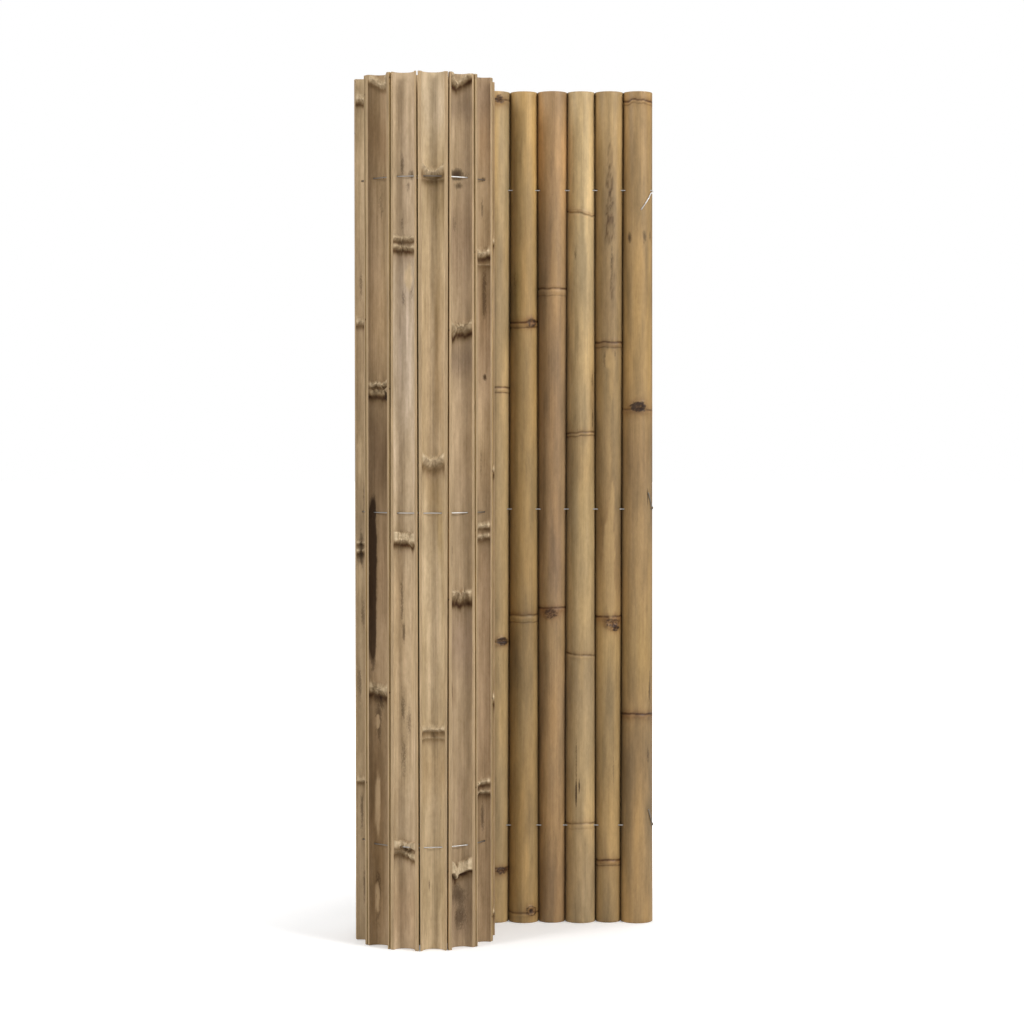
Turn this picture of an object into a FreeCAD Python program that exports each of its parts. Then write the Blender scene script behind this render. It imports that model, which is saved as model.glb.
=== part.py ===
import FreeCAD, Part
import math
import os

Vector = FreeCAD.Vector

# Half-round split bamboo slats threaded on three wires, standing on their sawn ends.
# The right-hand slats hang flat as a flap with their round side forward.  The rest curl
# forward into a roll, so that the roll shows the hollow side of its slats.

# Driving dimensions in millimetres and degrees
slat_length = 1000.0
slat_count = 30
flap_count = 7
flap_gap = 0.1
roll_gap = 2.3
roll_radius = 86.0
roll_lead = 21.0
turn_clearance = 0.6

culm_taper = 4.0
outer_sides = 7
bore_sides = 6
septum_sides = 3
wall = 3.0
split_loss = 1.3
ring_height = 0.8
ring_length = 2.5
joint_end_margin = 7.0
septum_rise = 6.0
septum_thickness = 4.0

wire_diameter = 1.4
wire_sides = 6
wire_depth = 8.5
wire_end_distance = 117.5
hole_clearance = 0.3
tail_clearance = 0.3
tail_stub = 0.8
tail_turn = 1.2
tail_bends = 4
tail_length_top = 24.0
tail_length_low = 20.0
tail_wrap_top = 54.0
tail_wrap_low = 24.0

# Culms seen in the flap, behind the roll and in the roll: mean diameter, heights of the joints
flap_culms = [
    (36.9, (252, 619, 989)),
    (32.1, (70, 364, 695)),
    (34.9, (117, 322, 587, 853)),
    (33.8, (376, 759)),
    (34.5, (10, 364, 721)),
    (36.3, (63, 338, 642, 989)),
]
back_culms = [
    (35.7, (11, 381, 748)),
    (30.9, (305, 636, 930)),
    (33.7, (147, 413, 678)),
    (32.6, (241, 624)),
    (33.3, (279, 636, 990)),
    (35.1, (11, 358, 662, 937)),
]
roll_culms = [
    (34.0, (186, 457, 719, 975)),
    (35.6, (292, 639, 990)),
    (31.4, (112, 465, 804)),
    (32.0, (247, 554, 882)),
    (33.5, (87, 399, 705, 991)),
    (34.5, (180, 477, 794)),
]

# A culm gives two slats: the last two groups are the other halves, turned end for end
groups = [flap_culms, back_culms, roll_culms, roll_culms, back_culms]
first_turned = 3
group = len(flap_culms)
culm_of = [groups[i // group % len(groups)][i % group] for i in range(slat_count)]
turned = [i // group % len(groups) >= first_turned for i in range(slat_count)]
radius = [diameter / 2 for diameter, _ in culm_of]

# Each turn of the roll lies inside the one before it, clear of its round side
largest_radius = max(radius[flap_count:]) + culm_taper / 4
corner_rise = largest_radius ** 2 / (2 * (roll_radius - largest_radius))
turn_pitch = largest_radius + ring_height + corner_rise - split_loss + turn_clearance

full_turn = 2 * math.pi
wire_heights = [wire_end_distance, slat_length / 2, slat_length - wire_end_distance]
wire_names = ["wire_bottom", "wire_middle", "wire_top"]


def roll_reach(angle):
    return roll_radius - turn_pitch * angle / full_turn


def line_point(start_x, angle):
    """Point of the wire line: on the roll's spiral, or on the flat run before it."""
    if angle < 0:
        return Vector(start_x - angle * roll_radius, 0, 0)
    reach = roll_reach(angle)
    return Vector(start_x - reach * math.sin(angle), reach * math.cos(angle) - roll_radius, 0)


def rolled_step(i, reach):
    """Length of the wire line that a slat takes where its neighbours turn away from it."""
    low = 0.0
    high = 2 * radius[i]
    while high - low > 1e-9:
        half = (low + high) / 2
        turn = half / reach
        if half * math.sqrt(1 - turn ** 2) + wire_depth * turn < radius[i] + roll_gap / 2:
            low = half
        else:
            high = half
    return low + high


def lay_bends():
    """Bends of the wire line in plan, one in each gap, with the turn angle reached there."""
    bends = [Vector(0, 0, 0)]
    for i in range(flap_count):
        bends.append(bends[-1] - Vector(2 * radius[i] + flap_gap, 0, 0))
    start_x = bends[-1].x - roll_lead
    angle = -roll_lead / roll_radius
    angles = [angle] * len(bends)
    for i in range(flap_count, slat_count):
        step = rolled_step(i, roll_reach(max(angle, 0)))
        low = angle
        high = angle + math.pi / 2
        while high - low > 1e-9:
            angle = (low + high) / 2
            if (line_point(start_x, angle) - bends[-1]).Length < step:
                low = angle
            else:
                high = angle
        bends.append(line_point(start_x, angle))
        angles.append(angle)
    return bends, angles


def joints_of(i, angle):
    """Joint heights of a slat.  The turn that the roll covers is left plain."""
    if angle > full_turn:
        return []
    heights = sorted(slat_length - h if turned[i] else h for h in culm_of[i][1])
    return [h for h in heights if joint_end_margin < h < slat_length - joint_end_margin]


def culm_radius(i, height):
    """The thick end of the culm is down in one slat and up in the next."""
    lean = 1 if i % 2 else -1
    return radius[i] + lean * culm_taper / 2 * (height / slat_length - 0.5)


def skin(rings):
    """Solid with flat faces between successive rings of points."""
    faces = [Part.Face(Part.makePolygon(end + end[:1])) for end in (rings[0], rings[-1])]
    for ring, ahead in zip(rings, rings[1:]):
        for j in range(len(ring)):
            for corners in ([ring[j - 1], ring[j], ahead[j]], [ring[j - 1], ahead[j], ahead[j - 1]]):
                faces.append(Part.Face(Part.makePolygon(corners + corners[:1])))
    shell = Part.Shell(faces)
    shell.sewShape()
    solid = Part.Solid(shell)
    if solid.Volume < 0:
        solid.reverse()
    return solid.removeSplitter()


def arc_points(r, sides, height):
    """Points round the crown from one side of the axis to the other."""
    turns = [math.pi * k / sides for k in range(sides + 1)]
    return [Vector(-r * math.cos(t), -r * math.sin(t), height) for t in turns]


def slat_ring(i, height, rise):
    """Section of half a culm: the bore, and the outside moved out so that its crown stands proud."""
    outside = [p - Vector(0, rise, 0) for p in arc_points(culm_radius(i, height), outer_sides, height)]
    bore = arc_points(radius[i] - wall, bore_sides, height)
    return outside + bore[::-1]


def septum(i, height):
    """What is left of the wall across a joint: a collar in the bore."""
    foot = height - septum_thickness / 2
    outside = arc_points(radius[i] - wall / 2, bore_sides, foot)
    inside = arc_points(radius[i] - wall - septum_rise, septum_sides, foot)
    collar = Part.makePolygon(outside + inside[::-1] + outside[:1])
    return Part.Face(collar).extrude(Vector(0, 0, septum_thickness))


def build_slat(i, joints, axis, across):
    """Half a culm less the saw's cut, with a ring at each joint and three pairs of wire holes."""
    rings = [slat_ring(i, 0.0, 0.0)]
    for h in joints:
        for offset, rise in ((-ring_length, 0.0), (0.0, ring_height), (ring_length, 0.0)):
            rings.append(slat_ring(i, h + offset, rise))
    rings.append(slat_ring(i, slat_length, 0.0))
    slat = skin(rings)
    if joints:
        slat = slat.fuse([septum(i, h) for h in joints])
    reach = 2 * radius[i]
    hole = wire_diameter + 2 * hole_clearance
    cuts = [Part.makeBox(2 * reach, reach, slat_length, Vector(-reach, -split_loss, 0))]
    for h in wire_heights:
        corner = Vector(-reach, -wire_depth - hole / 2, h - hole / 2)
        cuts.append(Part.makeBox(2 * reach, hole, hole, corner))
    slat = slat.cut(cuts)
    heading = math.degrees(math.atan2(across.y, across.x))
    slat.Placement = FreeCAD.Placement(axis, FreeCAD.Rotation(Vector(0, 0, 1), heading))
    return slat


def wire_tail(i, axis, outward, crown, height, rise, wrap):
    """End of a wire: out of the last hole, bent back and laid on the round side."""
    reach = culm_radius(i, height) + wire_diameter / 2 + tail_clearance
    start = math.asin(wire_depth / (reach + tail_stub))
    side = (reach + tail_stub) * math.cos(start)
    stops = [(side, wire_depth, 0.0)]
    stops.append((side + tail_stub / 2, wire_depth + tail_turn, rise / (2 * tail_bends)))
    for k in range(1, tail_bends + 1):
        share = k / tail_bends
        turn = start + math.radians(wrap) * share
        stops.append((reach * math.cos(turn), reach * math.sin(turn), rise * share))
    return [axis + outward * a + crown * b + Vector(0, 0, height + c) for a, b, c in stops]


def mitred_wire(path):
    """Wire of constant section along a path, mitred at each bend."""
    heading = [(b - a).normalize() for a, b in zip(path, path[1:])]
    across = heading[0].cross(Vector(0, 0, 1)).normalize()
    upward = across.cross(heading[0])
    ring = []
    for k in range(wire_sides):
        turn = full_turn * (k + 0.5) / wire_sides
        spoke = across * math.cos(turn) + upward * math.sin(turn)
        ring.append(path[0] + spoke * (wire_diameter / 2))
    rings = [ring]
    for stop, direction, onward in zip(path[1:], heading, heading[1:] + heading[-1:]):
        mitre = direction + onward
        slope = direction.dot(mitre)
        rings.append([p + direction * ((stop - p).dot(mitre) / slope) for p in rings[-1]])
    return skin(rings)


bends, angles = lay_bends()
axes = []
acrosses = []
crowns = []
parts = {}
for i in range(slat_count):
    acrosses.append((bends[i] - bends[i + 1]).normalize())
    crowns.append(Vector(acrosses[i].y, -acrosses[i].x, 0))
    axes.append((bends[i] + bends[i + 1]) / 2 - crowns[i] * wire_depth)
    parts["slat_%02d" % (i + 1)] = build_slat(i, joints_of(i, angles[i + 1]), axes[i], acrosses[i])

for name, h in zip(wire_names, wire_heights):
    top = name == "wire_top"
    rise = -tail_length_top if top else tail_length_low
    wrap = tail_wrap_top if top else tail_wrap_low
    tails = []
    for i, outward in ((0, acrosses[0]), (slat_count - 1, -acrosses[-1])):
        tails.append(wire_tail(i, axes[i], outward, crowns[i], h, rise, wrap))
    threaded = [b + Vector(0, 0, h) for b in bends[1:-1]]
    parts[name] = mitred_wire(tails[0][::-1] + threaded + tails[1])

# The origin is the middle of the foot of the box round all of it
box = Part.makeCompound(list(parts.values())).optimalBoundingBox(False)
middle = Vector(box.Center.x, box.Center.y, box.ZMin)

os.makedirs("parts", exist_ok=True)
for name, shape in parts.items():
    shape.translate(-middle)
    shape.exportStep("parts/%s.step" % name)
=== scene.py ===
import bpy
import math
import numpy as np
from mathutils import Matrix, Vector


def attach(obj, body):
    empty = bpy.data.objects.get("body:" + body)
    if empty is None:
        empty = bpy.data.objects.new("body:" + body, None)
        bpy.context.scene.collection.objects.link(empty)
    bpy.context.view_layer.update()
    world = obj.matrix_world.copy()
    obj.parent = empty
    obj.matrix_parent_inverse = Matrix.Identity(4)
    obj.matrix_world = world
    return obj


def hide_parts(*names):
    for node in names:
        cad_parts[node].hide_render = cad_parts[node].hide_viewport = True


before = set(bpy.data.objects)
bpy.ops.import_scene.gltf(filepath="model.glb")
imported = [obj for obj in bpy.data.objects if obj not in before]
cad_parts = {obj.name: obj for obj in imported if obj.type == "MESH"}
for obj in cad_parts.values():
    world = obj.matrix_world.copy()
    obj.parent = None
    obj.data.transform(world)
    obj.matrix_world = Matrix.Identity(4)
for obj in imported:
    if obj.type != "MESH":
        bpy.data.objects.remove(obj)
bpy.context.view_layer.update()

# Sizes in millimetres, as in the solids.  SPLIT is the distance of the split faces from the culm's
# middle, HOLE the side of the square wire holes.
LENGTH = 1000.0
SPLIT = 1.3
WALL = 3.0
WIRE_DEPTH = 8.5
WIRE_RADIUS = 0.7
HOLE = 2.0
WIRES = {"wire_bottom": 117.5, "wire_middle": 500.0, "wire_top": 882.5}
MM = 0.001
MM_IN_METRE = 1000.0

# The flap shows its round side, the front of the roll its hollow side.  Slats up to LAST_OUTWARD
# have their round side to the front.
SLATS = 30
FLAP = ["slat_%02d" % i for i in range(1, 7)]
FRONT = ["slat_%02d" % i for i in range(13, 20)]
LAST_OUTWARD = 8

# Steps of points on a side that is seen (True) and on others: round a slat from the split edge to the
# wire hole and from hole to hole, and between rows elsewhere and at joints and short marks
SKIN_STEPS = {True: (6, 20), False: (3, 10)}
HOLLOW_STEPS = {True: (9, 24), False: (3, 9)}
ROW_STEPS = {True: (5.0, 0.75), False: (9.0, 1.6)}
ROWS_BELOW_JOINT = 15
ROWS_ABOVE_JOINT = 20
SHORT_MARK = 20

# Sawn ends have a small bevel.  Slats swell a little beside the split edges, those of the roll
# ROLL_SWELL times as much as those of the flap.
BEVEL_HIGH = 0.5
BEVEL_DEEP = 0.35
SWELL = 0.13
ROLL_SWELL = 2.5

# Points of a split face between the round and the hollow side, and how far chips go in there
EDGE_SHARES = np.array([0.12, 0.5, 0.88])
EDGE_CHIPS = np.array([0.0, 0.2, 0.6])

# Materials of a slat, by number
SKIN, HOLLOW, EDGE, END = range(4)

# Large odd numbers that mix the bits of a lattice cell's place
MIX_I = 374761393
MIX_J = 668265263
MIX_SEED = 2246822519
MIX_BITS = 1274126177


def srgb(r, g, b):
    """Linear colour from the usual 0 to 255 values."""
    c = np.array([r, g, b]) / 255.0
    return np.where(c <= 0.04045, c / 12.92, ((c + 0.055) / 1.055) ** 2.4)


def smooth(low, high, x):
    """From 0 at low to 1 at high, level at both."""
    t = np.clip((x - low) / (high - low), 0.0, 1.0)
    return t * t * (3 - 2 * t)


def bell(x, width, power=2):
    """1 at 0, falling away to both sides; higher powers have a flatter top."""
    return np.exp(-(x / width) ** power)


def oval(u, z, u0, z0, half_u, half_z):
    """Distance from the middle of an oval, 1 on its edge."""
    return np.hypot((u - u0) / half_u, (z - z0) / half_z)


def hashed(i, j, seed):
    """A number from 0 to 1 for each cell of a lattice."""
    n = i.astype(np.int64) * MIX_I + j.astype(np.int64) * MIX_J + int(seed) * MIX_SEED
    n = (n ^ (n >> 13)) * MIX_BITS
    n = n ^ (n >> 16)
    return (n & 0xFFFF) / 65535.0


def cloud(x, z, seed):
    """Smooth noise over a plane, from 0 to 1."""
    i = np.floor(x)
    j = np.floor(z)
    fx = smooth(0, 1, x - i)
    fz = smooth(0, 1, z - j)
    low = hashed(i, j, seed) * (1 - fx) + hashed(i + 1, j, seed) * fx
    high = hashed(i, j + 1, seed) * (1 - fx) + hashed(i + 1, j + 1, seed) * fx
    return low * (1 - fz) + high * fz


def clouds(x, z, seed):
    """Noise of three sizes, from 0 to 1."""
    broad = 0.6 * cloud(x, z, seed)
    middle = 0.3 * cloud(2.1 * x, 2.1 * z, seed + 7)
    small = 0.1 * cloud(4.3 * x, 4.3 * z, seed + 13)
    return broad + middle + small


def chance(seed, k):
    """One number from 0 to 1."""
    return float(hashed(np.array(seed), np.array(k), 5))


# Where each slat stands

def radius_at(radii, height):
    """Outer radius of a slat at a height."""
    return radii[0] + (radii[1] - radii[0]) * height / LENGTH


def end_outline(spots, height):
    """Plan of the points of a slat's end."""
    return spots[np.abs(spots[:, 2] - height) < 0.01][:, :2]


def read_slat(number):
    """Axis, directions, radii and joint heights of a slat, from its solid."""
    name = "slat_%02d" % number
    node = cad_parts[name]
    spots = np.array([node.matrix_world @ v.co for v in node.data.vertices]) * MM_IN_METRE
    outlines = [end_outline(spots, height) for height in (0.0, LENGTH)]
    middles = []
    for flat in outlines:
        gaps = np.linalg.norm(flat[:, None] - flat[None, :], axis=2)
        i, j = np.unravel_index(np.argmax(gaps), gaps.shape)
        middles.append((flat[i] + flat[j]) / 2)
        along = (flat[i] - flat[j]) / np.linalg.norm(flat[i] - flat[j])
    middle = (middles[0] + middles[1]) / 2
    crown = spots[:, :2].mean(axis=0) - middle
    crown = crown - along * crown.dot(along)
    crown /= np.linalg.norm(crown)
    axis = middle - crown * SPLIT
    radii = [float(np.linalg.norm(flat - axis, axis=1).max()) for flat in outlines]
    reach = np.linalg.norm(spots[:, :2] - axis, axis=1)
    proud = spots[reach > radius_at(radii, spots[:, 2]) + 0.5]
    joints = sorted(set(np.round(proud[:, 2], 1)))
    flap = name in FLAP
    return {"name": name, "number": number, "seed": 100 + 17 * number,
            "flap": flap, "front": name in FRONT,
            "side": 1.0 if flap or number <= LAST_OUTWARD else -1.0,
            "axis": axis, "crown": crown, "across": np.array([-crown[1], crown[0]]),
            "radii": radii, "joints": [float(h) for h in joints]}


# Looks of the slats in sight.  Heights and widths are in millimetres, u to the viewer's right.
# skin, hollow: colour of the side that is seen
# shade: (u, z, half width, half height, red, green, blue) soft tint; the bright ones at the tops of
# the flap's slats are painted light from above
# dark and pale: (u, z, half width, half height, strength) marks with sharp edges
# loops: (u, z, half width, half height, strength) soft brown outlines
LOOKS = {
    "slat_01": {
        "skin": (152, 123, 81),
        "shade": [(0, 565, 30, 62, 0.84, 0.82, 0.84), (0, 205, 30, 60, 0.69, 0.7, 0.76),
                  (0, 720, 30, 110, 1.26, 1.23, 1.08), (0, 330, 30, 60, 0.9, 0.92, 0.88),
                  (-12, 400, 5, 200, 0.95, 0.93, 0.9), (6, 330, 6, 40, 1.06, 1.06, 1.02)],
        "dark": [(-10, 826, 2.4, 7, 0.7), (7.5, 827, 2.8, 9, 0.52), (14.5, 828, 1.8, 7, 0.46),
                 (13, 205, 1.6, 12, 0.5), (15, 284, 1.2, 26, 0.6), (12, 515, 0.7, 12, 0.7)],
    },
    "slat_02": {
        "skin": (152, 125, 84),
        # The first tint is painted light from above at the top
        "shade": [(0, 940, 30, 60, 1.2, 1.2, 1.16), (1, 885, 7, 60, 0.88, 0.87, 0.9),
                  (0, 735, 9, 60, 0.86, 0.85, 0.88), (-6, 480, 7, 30, 0.84, 0.8, 0.76),
                  (10, 420, 6, 70, 0.86, 0.83, 0.82), (0, 345, 30, 50, 1.2, 1.2, 1.14),
                  (0, 655, 20, 35, 1.05, 1.04, 0.98), (0, 200, 20, 160, 1.06, 1.06, 1.02),
                  (0, 550, 30, 60, 0.86, 0.86, 0.87), (0, 450, 30, 70, 0.76, 0.75, 0.76)],
        "dark": [(3, 795, 1.4, 40, 0.46), (-5, 680, 2.0, 10, 0.5), (7, 686, 1.4, 8, 0.46),
                 (1, 862, 2.5, 7, 0.44), (6, 185, 1.0, 26, 0.42)],
        "pale": [(4, 500, 2.4, 34, 0.75), (0, 450, 6.5, 36, 0.8), (2, 405, 5, 40, 0.72),
                 (1, 680, 5.5, 14, 0.7), (3, 652, 2.4, 22, 0.6)],
        "loops": [(1, 922, 2.8, 20, 0.45), (0, 892, 3.4, 16, 0.55), (1, 862, 4.2, 18, 0.6),
                  (1, 834, 5.0, 15, 0.65), (4, 775, 2.5, 26, 0.5)],
    },
    "slat_03": {
        "skin": (160, 136, 97),
        # The first tint is painted light from above at the top
        "shade": [(0, 900, 30, 150, 1.44, 1.44, 1.4), (0, 680, 30, 60, 1.12, 1.1, 1.06),
                  (14, 630, 4, 40, 0.82, 0.78, 0.74), (0, 560, 30, 40, 0.92, 0.9, 0.88),
                  (0, 490, 30, 60, 0.88, 0.9, 0.92), (0, 280, 30, 60, 0.97, 0.96, 0.98),
                  (0, 60, 30, 60, 0.97, 0.96, 0.99)],
        "dark": [(-7, 806, 1.4, 9, 0.56), (-5.5, 156, 1.0, 16, 0.95), (-2, 166, 0.9, 8, 0.9),
                 (-5.5, 190, 0.5, 75, 0.5), (13.5, 655, 1.4, 16, 0.5), (14, 610, 1.2, 20, 0.48)],
        "pale": [(8, 470, 2.5, 24, 0.5), (6, 430, 3, 16, 0.46)],
    },
    "slat_04": {
        "skin": (149, 120, 83),
        # The first tint is painted light from above at the top
        "shade": [(0, 930, 30, 80, 1.44, 1.36, 1.24), (0, 620, 12, 120, 0.9, 0.88, 0.9),
                  (0, 795, 30, 50, 0.88, 0.89, 0.9), (4, 440, 8, 60, 0.96, 0.94, 1.0),
                  (0, 345, 30, 40, 1.06, 1.07, 1.02), (0, 50, 30, 45, 0.88, 0.86, 0.86),
                  (-6, 820, 5, 60, 0.92, 0.9, 0.94)],
    },
    "slat_05": {
        "skin": (152, 124, 80),
        # The first tint is painted light from above at the top
        "shade": [(0, 930, 30, 90, 1.4, 1.38, 1.28), (-9, 760, 6, 45, 0.8, 0.84, 0.78),
                  (-9, 320, 7, 34, 0.78, 0.78, 0.82), (4, 560, 6, 120, 1.06, 1.05, 1.0),
                  (0, 345, 30, 60, 0.82, 0.82, 0.84)],
        "dark": [(-11, 775, 2.4, 16, 0.4)],
    },
    "slat_06": {
        "skin": (164, 138, 97),
        # The first tint is painted light from above at the top
        "shade": [(0, 930, 30, 90, 1.26, 1.25, 1.18), (0, 200, 30, 220, 0.88, 0.88, 0.86)],
    },
    "slat_13": {
        "hollow": (172, 149, 116),
        "shade": [(-12, 700, 3, 120, 0.84, 0.82, 0.8), (-9, 300, 2.5, 200, 0.78, 0.76, 0.75),
                  (0, 40, 20, 90, 0.82, 0.82, 0.84), (0, 900, 30, 80, 1.16, 1.15, 1.12),
                  (0, 480, 30, 50, 0.82, 0.82, 0.84)],
        "dark": [(-12, 455, 1.5, 24, 0.62), (-10, 520, 1.2, 18, 0.5), (-12, 760, 1.2, 20, 0.46),
                 (-11, 375, 1.5, 26, 0.52), (-13, 300, 1.0, 26, 0.5), (-9, 640, 1.0, 36, 0.46),
                 (-12, 150, 1.2, 26, 0.52), (-10, 60, 1.5, 26, 0.5)],
        "pale": [(-13, 420, 1.4, 20, 0.6), (-13, 560, 1.2, 40, 0.55), (-13, 860, 1.2, 50, 0.55)],
    },
    "slat_14": {
        "hollow": (157, 133, 102),
        "shade": [(-4, 930, 14, 40, 0.82, 0.78, 0.76), (0, 565, 22, 70, 0.46, 0.44, 0.45),
                  (2, 430, 22, 70, 0.78, 0.75, 0.74), (-2, 200, 22, 75, 0.74, 0.72, 0.72),
                  (0, 60, 22, 60, 0.8, 0.79, 0.78), (-9, 110, 6, 130, 0.72, 0.68, 0.64),
                  (2, 350, 12, 24, 1.12, 1.12, 1.12), (0, 720, 20, 60, 1.06, 1.04, 1.0)],
        "dark": [(-13.0, 500, 1.6, 15, 1.5), (-13.0, 470, 1.6, 32, 1.6), (-13.0, 424, 1.7, 60, 1.6),
                 (-13.2, 368, 1.5, 34, 1.5), (-7, 285, 6, 14, 0.5), (-9, 262, 3, 34, 0.52),
                 (8, 270, 2.5, 26, 0.46), (-10, 60, 3, 40, 0.46), (9, 25, 3, 26, 0.46),
                 (-6, 850, 4, 22, 0.36), (-3, 883, 1.2, 2.4, 0.6), (3.5, 633, 4.0, 4.6, 1.2)],
        "pale": [(-10, 258, 1.6, 7, 0.8), (-10, 163, 2.2, 38, 0.72), (-10.5, 55, 2, 18, 0.6)],
    },
    "slat_15": {
        "hollow": (183, 159, 125),
        "shade": [(0, 490, 30, 50, 0.86, 0.87, 0.88), (-7, 600, 6, 500, 0.93, 0.92, 0.91),
                  (6, 560, 6, 80, 1.06, 1.06, 1.06), (0, 850, 30, 130, 0.9, 0.9, 0.92),
                  (0, 768, 20, 26, 0.96, 0.98, 1.02), (0, 320, 30, 120, 1.08, 1.06, 1.02),
                  (0, 670, 30, 110, 1.04, 1.09, 1.18), (0, 45, 30, 50, 0.84, 0.8, 0.78),
                  (0, 700, 20, 60, 1.0, 1.0, 1.02), (-8, 430, 4, 60, 0.9, 0.88, 0.86)],
        "dark": [(-5, 896, 2.4, 14, 0.5), (6, 884, 5, 7, 0.52), (2, 872, 4, 7, 0.44),
                 (-5, 830, 2, 12, 0.46), (4, 778, 3, 12, 0.42), (-4, 745, 2, 12, 0.44),
                 (6, 755, 4, 16, 0.42), (-6, 400, 1.8, 34, 0.48), (-4, 363, 2.0, 12, 0.6),
                 (-5, 278, 3, 22, 0.46), (2, 262, 4, 22, 0.44), (-4, 220, 4, 26, 0.44)],
        "pale": [(2, 766, 7, 20, 0.5)],
    },
    "slat_16": {
        "hollow": (180, 156, 120),
        "shade": [(0, 965, 30, 45, 1.1, 1.14, 1.22), (4, 850, 12, 34, 0.78, 0.77, 0.75),
                  (6, 690, 3.5, 95, 0.86, 0.83, 0.78), (-6, 720, 4, 110, 1.05, 1.04, 1.03),
                  (1, 522, 8, 26, 0.82, 0.79, 0.74), (8, 480, 3, 34, 0.9, 0.88, 0.8),
                  (0, 210, 30, 34, 0.93, 0.9, 0.86), (0, 60, 30, 50, 1.02, 1.02, 1.0),
                  (0, 630, 30, 120, 0.9, 0.88, 0.87), (0, 420, 30, 90, 1.12, 1.13, 1.15)],
        "dark": [(-4, 74, 0.8, 8, 0.62), (9, 155, 0.6, 12, 0.46), (-4, 305, 0.5, 10, 0.46),
                 (15, 196, 1.6, 4, 0.6)],
    },
    "slat_17": {
        "hollow": (163, 140, 109),
        "shade": [(0, 962, 20, 16, 0.72, 0.72, 0.76), (0, 675, 20, 18, 0.72, 0.72, 0.78),
                  (0, 350, 22, 36, 0.82, 0.81, 0.86), (0, 40, 30, 45, 0.76, 0.74, 0.76),
                  (-6, 290, 5, 14, 0.78, 0.76, 0.76), (4, 160, 3, 44, 0.86, 0.84, 0.86),
                  (-8, 560, 4, 110, 1.06, 1.06, 1.06), (0, 810, 20, 54, 0.88, 0.86, 0.89),
                  (0, 595, 30, 60, 1.14, 1.13, 1.12), (0, 480, 30, 40, 0.9, 0.9, 0.9)],
        "dark": [(0, 886, 10, 6, 0.72), (3, 873, 6, 4, 0.55), (-3, 830, 4, 14, 0.38),
                 (-7, 295, 1.6, 12, 0.5), (0, 60, 10, 16, 0.55), (4, 34, 8, 18, 0.5),
                 (-7, 455, 1.2, 26, 0.46)],
    },
    "slat_18": {
        "hollow": (157, 132, 102),
        "shade": [(11, 745, 3, 52, 0.7, 0.66, 0.62), (11, 930, 4, 40, 0.86, 0.82, 0.78),
                  (0, 840, 30, 70, 1.12, 1.14, 1.12), (0, 975, 30, 30, 0.84, 0.85, 0.9),
                  (0, 595, 30, 50, 1.2, 1.22, 1.18), (0, 480, 30, 50, 0.82, 0.84, 0.84),
                  (3, 145, 6, 34, 0.78, 0.75, 0.72), (0, 440, 20, 34, 0.88, 0.86, 0.84)],
        "dark": [(11.8, 656, 1.1, 3.4, 0.9), (11, 883, 1.5, 3, 0.7), (11.5, 748, 1.4, 30, 0.62),
                 (10, 145, 1.8, 20, 0.55), (9, 560, 0.8, 30, 0.42), (10, 850, 1.0, 12, 0.5)],
    },
    "slat_19": {
        "hollow": (164, 138, 104),
        "dark": [(-9, 640, 4, 30, 0.5), (-9, 560, 4, 40, 0.48)],
    },
}

# How dull each wire is where it crosses the slats of the roll's front, from the left, and elsewhere
DULL = {
    "wire_top": (0.8, 0.8, 0.6, 0.9, 0.0, 0.85),
    "wire_middle": (0.5, 0.5, 0.35, 0.3, 0.25, 0.8),
    "wire_bottom": (0.7, 0.8, 0.5, 0.15, 0.2, 0.7),
}
FLAP_DULL = 0.4
ROLL_DULL = 0.5
# The tails of the middle and bottom wires are darker brown
TAIL_DARKENING = {"wire_top": 0.0, "wire_middle": 0.85, "wire_bottom": 0.85}
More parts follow.
